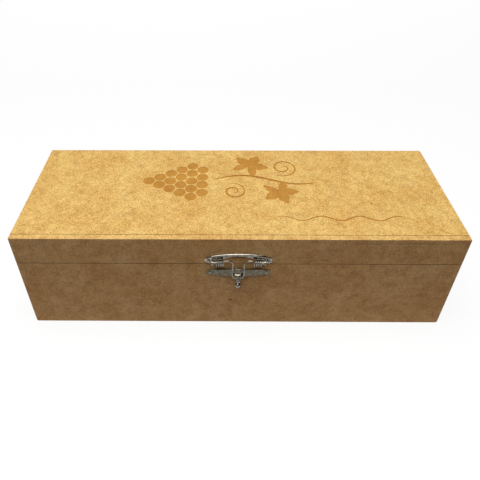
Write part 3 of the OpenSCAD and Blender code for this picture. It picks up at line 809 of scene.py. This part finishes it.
neck_angle = math.degrees(math.acos(NECK_R / BALL_R))
knob_rings = (ball_rings(BALL_R, BALL_R, -BALL_DROP, -POLE, neck_angle, BALL_STEPS)
              + rounded_rings(BEAD_R, BEAD_H, -BEAD_DROP)
              + rounded_rings(COLLAR_R, COLLAR_H, COLLAR_TOP - COLLAR_H / 2))
knob = turned("knob", knob_rings, at(*loop_bottom), -toward(*DOWN), 48)
soften(knob, EDGE_R)
hand_over(dress(knob, bright_steel), "bail", "bright_plating", "bail_knob", smooth=40)

# %% [markdown]
# ## Nails and coil pins
#
# The latch and the hinges are held by short nails with a low domed head. One dome is worked
# out from the head's width and height, and every nail is turned from the same rings.

# %% Nails and pins
NAIL_R, NAIL_HEAD_R, NAIL_HEAD_H, NAIL_LENGTH, DOME_STEPS = 0.55, 1.5, 0.8, 4.2, 8
OUT_OF_FRONT, OUT_OF_BACK = Vector((0, -1, 0)), Vector((0, 1, 0))


def nail_rings():
    """A nail's rings, from its point up to the top of its dome."""
    dome_r = (NAIL_HEAD_R ** 2 + NAIL_HEAD_H ** 2) / (2 * NAIL_HEAD_H)
    edge = math.degrees(math.acos(NAIL_HEAD_R / dome_r))
    dome = ball_rings(dome_r, dome_r, NAIL_HEAD_H - dome_r, edge, POLE, DOME_STEPS)
    return [(NAIL_R, -NAIL_LENGTH), (NAIL_R, 0), (NAIL_HEAD_R, 0), *dome]


def nails(node, body, direction):
    """The nails of one node: one at each end of its box, by the box's own places."""
    low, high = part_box(node)
    head = high if direction.y > 0 else low
    made = []
    for x in (low.x + NAIL_HEAD_R * MM, high.x - NAIL_HEAD_R * MM):
        place = Vector((x, head.y - direction.y * NAIL_HEAD_H * MM, (low.z + high.z) / 2))
        made.append(turned("nail", nail_rings(), place, direction))
    piece = joined(node + "_domed", made)
    hand_over(dress(piece, nickel_steel), body, "nickel", node)


nails("latch_plate_nails", "lid", OUT_OF_FRONT)
nails("catch_plate_nails", "base", OUT_OF_FRONT)

# %% Coil pins
low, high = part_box("coil_pins")
PIN_HEAD_R = (high.z - low.z) / 2 / MM
PIN_HEAD, PIN_CHAMFER, HEAD_RIM_SHARE = 0.3, 0.15, 0.6
PIN_R = PIN_HEAD_R - PIN_HEAD
pin_length = high.x / MM - PIN_HEAD - COIL_INNER
pin_rings = [(PIN_R - PIN_CHAMFER, 0), (PIN_R, PIN_CHAMFER), (PIN_R, pin_length),
             (PIN_HEAD_R, pin_length), (PIN_HEAD_R, pin_length + HEAD_RIM_SHARE * PIN_HEAD),
             (PIN_R, pin_length + PIN_HEAD)]
pins = [turned("pin", pin_rings, at(side * COIL_INNER, COIL_OUT, COIL_UP), (side, 0, 0))
        for side in (-1, 1)]
pins = joined("coil_carriers", pins)
hand_over(dress(pins, nickel_steel), "lid", "nickel", "coil_pins")

# %% [markdown]
# ## The latch plate
#
# The upper plate is pressed from one strip: an arched rim that is rolled to a half-round
# bar, and at each end a nailed ear, a lug that carries the coil's pin, and a hood over the
# back of the coil. Sheet with a round end is a disc whose one side is drawn out straight,
# so the ear and the lug share one function. The hood is a stretch of a tube.

# %% Sheet shapes
def tab(name, centre, radius, normal, reach, thickness, half_width):
    """A disc drawn out straight to one side, then given its thickness along the normal."""
    normal, reach = Vector(normal).normalized(), Vector(reach)
    piece = start(name, bpy.ops.mesh.primitive_circle_add, vertices=48, radius=radius * MM,
                  fill_type="NGON", location=centre,
                  rotation=normal.to_track_quat("Z", "Y").to_euler())
    along = reach.normalized()
    across = normal.cross(along)

    def on_side(edge):
        place = middle(edge) - Vector(centre)
        return place.dot(along) > 0 and abs(place.dot(across)) < half_width * MM

    edit(piece)
    pick(piece, "edges", on_side)
    push(reach)
    flat = [1 - abs(value) for value in along]
    bpy.ops.transform.resize(value=flat, center_override=Vector(centre) + reach)
    bpy.ops.mesh.select_all(action="SELECT")
    push(normal * thickness * MM)
    leave()
    tidy(piece)
    return piece


def shell(name, centre, radius, sheet, length, keep_from, keep_to, sides=72):
    """A stretch of a tube along X, between two angles from the outward direction."""
    piece = start(name, bpy.ops.mesh.primitive_cylinder_add, vertices=sides,
                  radius=(radius - sheet / 2) * MM, depth=length * MM,
                  end_fill_type="NOTHING", location=centre, rotation=(0, math.pi / 2, 0))

    def is_cut(face):
        place = middle(face) - Vector(centre)
        angle = math.degrees(math.atan2(place.z, -place.y)) % 360
        return not keep_from <= angle <= keep_to

    edit(piece)
    pick(piece, "faces", is_cut)
    bpy.ops.mesh.delete(type="FACE")
    leave()
    modify(piece, "SOLIDIFY", thickness=sheet * MM, offset=0)
    return piece


# %% Latch plate
ARCH_UP, ARCH_SAG, ARCH_BAR = 11.4, 2.5, 2.8
EAR_SHEET, EAR_R, EAR_NECK = 1.1, 3.1, 2.7
WEB_SHEET, WEB_DROP, WEB_FALL = 0.5, 3.0, 2.8
LUG_SHEET, LUG_R = 0.9, 2.3
HOOD_R, HOOD_SHEET, HOOD_FROM, HOOD_TO, HOOD_LAP = 3.3, 0.6, 95, 180, 0.1
CUTTER_DEPTH, CUTTER_SIDES, OPENING_AIR = 9, 256, 0.1
NAIL_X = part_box("latch_plate_nails")[1][0] / MM - NAIL_HEAD_R
EAR_REACH = 2.4
LUG_OUTER = NAIL_X - EAR_REACH
LUG_INNER = LUG_OUTER - LUG_SHEET
ARCH_R = (LUG_OUTER ** 2 + ARCH_SAG ** 2) / (2 * ARCH_SAG)
ARCH_STEPS, END_STEPS, END_SHARE = 48, 5, 0.05


def arch_places():
    """Places and shares of the radius along the arch, with domed ends."""
    half = math.asin(LUG_OUTER / ARCH_R)
    middle_r, bar_r = ARCH_R - ARCH_BAR / 2, ARCH_BAR / 2
    stations = [(-half + 2 * half * k / ARCH_STEPS, 1.0) for k in range(ARCH_STEPS + 1)]
    dome = [(half + bar_r * math.sin(math.pi / 2 * k / END_STEPS) / middle_r,
             max(math.cos(math.pi / 2 * k / END_STEPS), END_SHARE))
            for k in range(1, END_STEPS + 1)]
    stations = [(-angle, share) for angle, share in dome[::-1]] + stations + dome
    places = [at(middle_r * math.sin(angle), 0, ARCH_UP - ARCH_R + middle_r * math.cos(angle))
              for angle, share in stations]
    return places, [share for angle, share in stations]


def arch():
    """The rolled rim: a round bar of which the half inside the board is cut away."""
    places, shares = arch_places()
    piece = drawn("arch", places, ARCH_BAR / 2 * MM, shares, 5)
    edit(piece)
    bpy.ops.mesh.bisect(plane_co=(0, FRONT_Y, 0), plane_no=(0, 1, 0), use_fill=True,
                        clear_outer=True)
    leave()
    return piece


def disc(name, radius, up):
    """A wide short cylinder that points out of the front, to cut a round edge with."""
    return start(name, bpy.ops.mesh.primitive_cylinder_add, vertices=CUTTER_SIDES,
                 radius=radius * MM, depth=CUTTER_DEPTH * MM, location=at(0, 0, up),
                 rotation=(math.pi / 2, 0, 0))


def web():
    """The flat under the rim: narrow in the middle, and down behind both coils."""
    low_up, open_up = COIL_UP - WEB_DROP, ARCH_UP - ARCH_BAR
    inner = COIL_INNER + OPENING_AIR
    piece = block("web", at(-LUG_OUTER, WEB_SHEET, low_up), at(LUG_OUTER, 0, ARCH_UP))
    combine(piece, disc("under_rim", ARCH_R - ARCH_BAR / 2, ARCH_UP - ARCH_R), "INTERSECT")
    open_r = (inner ** 2 + WEB_FALL ** 2) / (2 * WEB_FALL)
    combine(piece, disc("opening", open_r, open_up - open_r))
    combine(piece, block("gap", at(-inner, CUTTER_DEPTH, low_up - 1),
                         at(inner, -CUTTER_DEPTH, open_up - WEB_FALL)))
    return piece


def latch_end(side):
    """Ear, lug and hood at one end of the plate."""
    ear = tab("ear", at(side * NAIL_X, 0, COIL_UP), EAR_R, (0, -1, 0),
              toward(-side * (NAIL_X - LUG_INNER), 0, 0), EAR_SHEET, EAR_NECK)
    lug = tab("lug", at(side * LUG_INNER, COIL_OUT, COIL_UP), LUG_R, (side, 0, 0),
              toward(0, -COIL_OUT, 0), LUG_SHEET, LUG_R)
    hood_inner = COIL_INNER + WIRE_R - HOOD_LAP
    hood = shell("hood", at(side * (hood_inner + LUG_INNER) / 2, COIL_OUT, COIL_UP),
                 HOOD_R + HOOD_SHEET, HOOD_SHEET, LUG_INNER - hood_inner, HOOD_FROM,
                 HOOD_TO)
    return [ear, lug, hood]


sheets = latch_end(-1) + latch_end(1)
for sheet in sheets:
    soften(sheet, SHEET_EDGE_R)
latch = joined("latch_plate_pressed", [arch(), web()] + sheets)
hand_over(dress(latch, bright_steel), "lid", "bright_plating", "latch_plate")

# %% [markdown]
# ## The catch plate
#
# The lower plate is a long sheet wing, nailed flat at its round ends and bowed clear of the
# board between them, which leaves a dark slot above it. A tongue rises from its middle,
# folds over to the front and ends in a curl for the bail. The wing is a grid whose points
# are moved to the outline and the bow. The tongue starts as its cross-section and is
# extruded up, spun over, extruded down and spun into the curl.

# %% Wing of the catch plate
WING_TOP, WING_FALL, WING_END_R = 4.7, 1.8, 3.0
WING_SHEET, WING_BOW, WING_RIM_R = 0.65, 2.0, 0.3
CATCH_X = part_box("catch_plate_nails")[1][0] / MM - NAIL_HEAD_R
WING_NAIL_DROP = WING_TOP + WING_FALL + WING_END_R
WING_COLUMNS, WING_ROWS, ROUND_SHARE = 60, 16, 0.1


def wing_bow(x):
    """How far the wing's face stands out at x: flat at the nails, bowed between them."""
    flat_from = CATCH_X - WING_END_R
    return WING_SHEET + (WING_BOW - WING_SHEET) * max(1 - (x / flat_from) ** 2, 0)


def wing_point(column, row):
    """A point of the wing from its place in a grid that runs from -1 to 1 both ways."""
    share = math.sin(row * math.pi / 2)
    if abs(column) <= 1 - ROUND_SHARE:
        x = column / (1 - ROUND_SHARE) * CATCH_X
    else:
        outward = (abs(column) - 1 + ROUND_SHARE) / ROUND_SHARE
        x = CATCH_X + WING_END_R * outward * math.cos(row * math.pi / 2)
        x = math.copysign(x, column)
    rise = WING_FALL * max(1 - (x / CATCH_X) ** 2, 0) if share > 0 else 0
    z = share * (WING_END_R + rise)
    past_nail = max(abs(x) - CATCH_X, 0)
    from_edge = min(WING_END_R + rise - math.hypot(past_nail, z), WING_RIM_R)
    rim = WING_RIM_R - math.sqrt(max(WING_RIM_R ** 2 - (WING_RIM_R - from_edge) ** 2, 0))
    return at(x, wing_bow(x) - rim, z - WING_NAIL_DROP)


def wing():
    """The bowed sheet of the catch plate."""
    piece = start("wing", bpy.ops.mesh.primitive_grid_add, x_subdivisions=WING_COLUMNS,
                  y_subdivisions=WING_ROWS, size=2)
    for vertex in piece.data.vertices:
        vertex.co = wing_point(vertex.co.x, vertex.co.y)
    edit(piece)
    push(toward(0, -WING_SHEET, 0))
    leave()
    tidy(piece)
    return piece


# %% Tongue of the catch plate
TONGUE_SHEET, TONGUE_W, TONGUE_TOP, TONGUE_CROWN = 0.8, 5.5, 2.6, 0.7
FOLD_R = 1.2
FOLD_OUT = WING_BOW + FOLD_R - TONGUE_SHEET
CURL_R, CURL_OUT, CURL_GAP = 2.2, 3.5, 0.4
CURL_UP = COIL_UP - BAIL_DROP + COLLAR_TOP + CURL_GAP + CURL_R
SWELL, SWELL_BEND_R, CURL_TURN = 62, 0.5, 177
TIP_FLARE, TIP_BLUNT = 0.35, 0.6
TONGUE_COLUMNS, FOLD_STEPS, SWELL_STEPS, CURL_BEND_STEPS = 10, 16, 5, 18
TONGUE_EDGE_R, TONGUE_SHARP = 0.14, 60
BACK_OUT = FOLD_OUT - FOLD_R + TONGUE_SHEET / 2
SHIN_OUT = FOLD_OUT + FOLD_R - TONGUE_SHEET / 2


def spin(angle, out, up, steps):
    """Turn what is selected about an axis along X, tipping it out over the front."""
    bpy.ops.mesh.spin(steps=steps, angle=math.radians(angle), center=at(0, out, up),
                      axis=(-1, 0, 0))


def tongue():
    """The strip that the bail hooks under."""
    fold_up = -TONGUE_TOP - FOLD_R
    foot = at(0, BACK_OUT, -WING_TOP - FOLD_R)
    ring_r = CURL_R - TONGUE_SHEET / 2
    swell = math.radians(SWELL)
    join_out = CURL_OUT + ring_r * math.cos(swell)
    join_up = CURL_UP + ring_r * math.sin(swell)
    slant = (join_out - SHIN_OUT - SWELL_BEND_R * (1 - math.cos(swell))) / math.sin(swell)
    shin_up = join_up + slant * math.cos(swell) + SWELL_BEND_R * math.sin(swell)
    piece = start("tongue", bpy.ops.mesh.primitive_grid_add,
                  x_subdivisions=TONGUE_COLUMNS, y_subdivisions=1,
                  size=TONGUE_SHEET * MM, location=foot)
    edit(piece)
    bpy.ops.transform.resize(value=(TONGUE_W / TONGUE_SHEET, 1, 1), center_override=foot)
    push(toward(0, 0, fold_up + WING_TOP + FOLD_R))
    spin(180, FOLD_OUT, fold_up, FOLD_STEPS)
    push(toward(0, 0, shin_up - fold_up))
    spin(-SWELL, SHIN_OUT + SWELL_BEND_R, shin_up, SWELL_STEPS)
    push(toward(0, slant * math.sin(swell), -slant * math.cos(swell)))
    spin(CURL_TURN, CURL_OUT, CURL_UP, CURL_BEND_STEPS)
    leave()
    tidy(piece)
    return piece


def shape_tongue(piece):
    """Widen the tongue to its round tip, and crown it across like a spoon's back."""
    tip_r = TONGUE_W / 2 + TIP_FLARE
    tip_up = CURL_UP - CURL_R + tip_r
    for vertex in piece.data.vertices:
        up = (vertex.co.z - PARTING_Z) / MM
        out = (FRONT_Y - vertex.co.y) / MM
        forward = min(max((out - BACK_OUT) / (SHIN_OUT - BACK_OUT), 0), 1)
        share = 2 * vertex.co.x / MM / TONGUE_W
        fall = min(max(tip_up + tip_r - up, 0) / tip_r, 1) * forward
        half = TONGUE_W / 2 + TIP_FLARE * fall
        if up < tip_up:
            half = math.sqrt(max(tip_r ** 2 - (tip_up - up) ** 2, TIP_BLUNT))
        vertex.co.x = share * half * MM
        vertex.co.y -= TONGUE_CROWN * (0.5 - share ** 2) * forward * MM


tongue_piece = tongue()
shape_tongue(tongue_piece)
soften(tongue_piece, TONGUE_EDGE_R, TONGUE_SHARP)
catch = joined("catch_plate_pressed", [wing(), tongue_piece])
hand_over(dress(catch, dull_painted_dark_steel), "base", "bright_plating", "catch_plate", smooth=40)

# %% [markdown]
# ## The hinges
#
# Two small butt hinges at the back, each of two leaves rolled round a pin, five knuckles
# taken in turn. A leaf is a flat block with softened edges, and each knuckle is a stretch of
# tube with a short strap to its leaf.

# %% Hinges
HINGE = Vector(JOINTS["lid_hinge"]["pos_m"])
HINGE_SHEET, PIN_AIR, KNUCKLES, KNUCKLE_GAP, KNUCKLE_SIDES = 0.8, 0.05, 5, 0.2, 40
BACK_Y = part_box("base_back")[1][1]
HINGE_PIN_R, PIN_CAP_H, PIN_CAP_CHAMFER = 0.95, 0.5, 0.2
KNUCKLE_R = HINGE_PIN_R + PIN_AIR + HINGE_SHEET


def knuckle(x, width, up):
    """One knuckle with its strap, at x along the pin."""
    rolled = shell("knuckle", (x, HINGE.y, HINGE.z), KNUCKLE_R, HINGE_SHEET, width / MM,
                   0, 360, KNUCKLE_SIDES)
    reach = up * (KNUCKLE_R + 2 * KNUCKLE_GAP) * MM
    low_z, high_z = sorted((HINGE.z, HINGE.z + reach))
    strap = block("strap", (x - width / 2, BACK_Y, low_z),
                  (x + width / 2, BACK_Y + HINGE_SHEET * MM, high_z))
    return [rolled, strap]


def leaf_piece(node, body, up):
    """A hinge leaf: its flat part and every other knuckle."""
    low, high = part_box(node)
    edge_z = high.z if up > 0 else low.z
    start_z = HINGE.z + up * (KNUCKLE_R + KNUCKLE_GAP) * MM
    flat_low, flat_high = sorted((start_z, edge_z))
    centre = (low.x + high.x) / 2
    parts = [block("flat", (low.x, BACK_Y, flat_low),
                   (high.x, BACK_Y + HINGE_SHEET * MM, flat_high))]
    pitch = (high.x - low.x + KNUCKLE_GAP * MM) / KNUCKLES
    for k in range(1 if up > 0 else 0, KNUCKLES, 2):
        x = centre + (k - (KNUCKLES - 1) / 2) * pitch
        parts += knuckle(x, pitch - KNUCKLE_GAP * MM, up)
    for part in parts:
        soften(part, EDGE_R)
    piece = joined(node + "_rolled", parts)
    hand_over(dress(piece, nickel_steel), body, "nickel", node)


def hinge_pin(node):
    """A hinge's pin with its two low heads."""
    low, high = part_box(node)
    head_r, length = (high.z - low.z) / 2 / MM, (high.x - low.x) / MM
    near_head = [(head_r - PIN_CAP_CHAMFER, 0), (head_r, PIN_CAP_CHAMFER),
                 (head_r, PIN_CAP_H), (HINGE_PIN_R, PIN_CAP_H)]
    rings = near_head + [(radius, length - height) for radius, height in near_head[::-1]]
    piece = turned(node + "_headed", rings, (low.x, HINGE.y, HINGE.z), (1, 0, 0))
    hand_over(dress(piece, nickel_steel), "base", "nickel", node)


for side in ("left", "right"):
    leaf_piece(side + "_hinge_base_leaf", "base", -1)
    leaf_piece(side + "_hinge_lid_leaf", "lid", 1)
    hinge_pin(side + "_hinge_pin")
    nails(side + "_hinge_base_nails", "base", OUT_OF_BACK)
    nails(side + "_hinge_lid_nails", "lid", OUT_OF_BACK)

# %% [markdown]
# ## The ground
#
# The box stands on a plain white ground, as in a catalogue picture, and the ground takes a
# faint shadow near the box. Seen by the camera, and mirrored in metal, the ground is white.
# The light that it throws back on the box is lower and a little rosy, as in the photograph,
# and comes mostly from the ground close by, so the front is brightest at its foot. The
# Light Path node tells the two kinds of ray apart. All reaches below are in metres.

# %% Ground
FLOOR_SIZE, FLOOR_DROP = 12.0, 0.05 * MM
FLOOR_TONE, ROSY = colour("#6B6B6B"), colour("#FFF0FF")
FLOOR_GLOW, GLOW_FROM, GLOW_TO = 0.86, 0.4, 1.6
FILL_NEAR, FILL_FAR, FILL_FROM, FILL_TO = 0.3, 0.04, 0.11, 0.3
ACROSS_SHARE = 0.4


def sees_background(material):
    """1 for rays from the camera, in a mirror or through glass, and 0 for the others."""
    path = add(material, "LightPath", {}, {})
    seen = path.outputs["Is Camera Ray"]
    for kind in ("Is Glossy Ray", "Is Transmission Ray"):
        seen = work_out(material, "MAXIMUM", seen, path.outputs[kind])
    return seen


floor = start("floor", bpy.ops.mesh.primitive_plane_add, size=FLOOR_SIZE,
              location=(0, 0, -FLOOR_DROP))
ground = emptied(bpy.data.materials.new("white_ground"))
lit = add(ground, "BsdfDiffuse", {}, {"Color": FLOOR_TONE})
place = add(ground, "TexCoord", {}, {})
oval = add(ground, "Mapping", {}, {"Vector": place.outputs["Object"],
                                   "Scale": (ACROSS_SHARE, 1, 1)})
far = add(ground, "VectorMath", {"operation": "LENGTH"}, {0: oval.outputs[0]}).outputs["Value"]
strength = between(ground, far, GLOW_FROM, GLOW_TO, FLOOR_GLOW, 1.0)
glow = add(ground, "Emission", {}, {"Color": colour("#FFFFFF"), "Strength": strength})
shown = add(ground, "AddShader", {}, {0: lit.outputs[0], 1: glow.outputs[0]})
bounce = between(ground, far, FILL_FROM, FILL_TO, FILL_NEAR, FILL_FAR)
muted = add(ground, "Emission", {}, {"Color": ROSY, "Strength": bounce})
mixed = add(ground, "MixShader", {}, {0: sees_background(ground), 1: muted.outputs[0],
                                      2: shown.outputs[0]})
add(ground, "OutputMaterial", {}, {"Surface": mixed.outputs[0]})
floor.data.materials.append(ground)

# %% [markdown]
# ## The surroundings and the lamp
#
# The surroundings are white up to a low height, where the camera and the metal see them, and
# dark above, so the metal gets dark streaks beside its bright ones. The light is one soft
# box overhead, a little to the front left, so the top is bright and the front lies in shade.

# %% World and lamp
AMBIENT, CEILING = 0.05, 0.02
BACKDROP_TO, CEILING_FROM = math.sin(math.radians(16)), math.sin(math.radians(28))
LAMP_PLACE, LAMP_SIZE, LAMP_POWER = Vector((-0.12, -0.18, 1.45)), 1.25, 25.6

world = emptied(bpy.data.worlds.new("studio"))
bpy.context.scene.world = world
way = add(world, "TexCoord", {}, {})
steep = add(world, "SeparateXYZ", {}, {"Vector": way.outputs["Generated"]})
backdrop = between(world, steep.outputs["Z"], BACKDROP_TO, CEILING_FROM, 1.0, CEILING)
seen = blend_colours(world, sees_background(world), [AMBIENT * part for part in ROSY],
                     backdrop)
sky = add(world, "Background", {}, {"Color": seen, "Strength": 1.0})
add(world, "OutputWorld", {}, {"Surface": sky.outputs[0]})

bpy.ops.object.select_all(action="DESELECT")
bpy.ops.object.light_add(type="AREA", location=LAMP_PLACE)
lamp = bpy.context.object
lamp.rotation_euler = LAMP_PLACE.to_track_quat("Z", "Y").to_euler()
lamp.data.size = LAMP_SIZE
lamp.data.energy = LAMP_POWER
bpy.context.scene.view_settings.view_transform = "Standard"
print("lamp", lamp.data.energy, "ambient", AMBIENT)
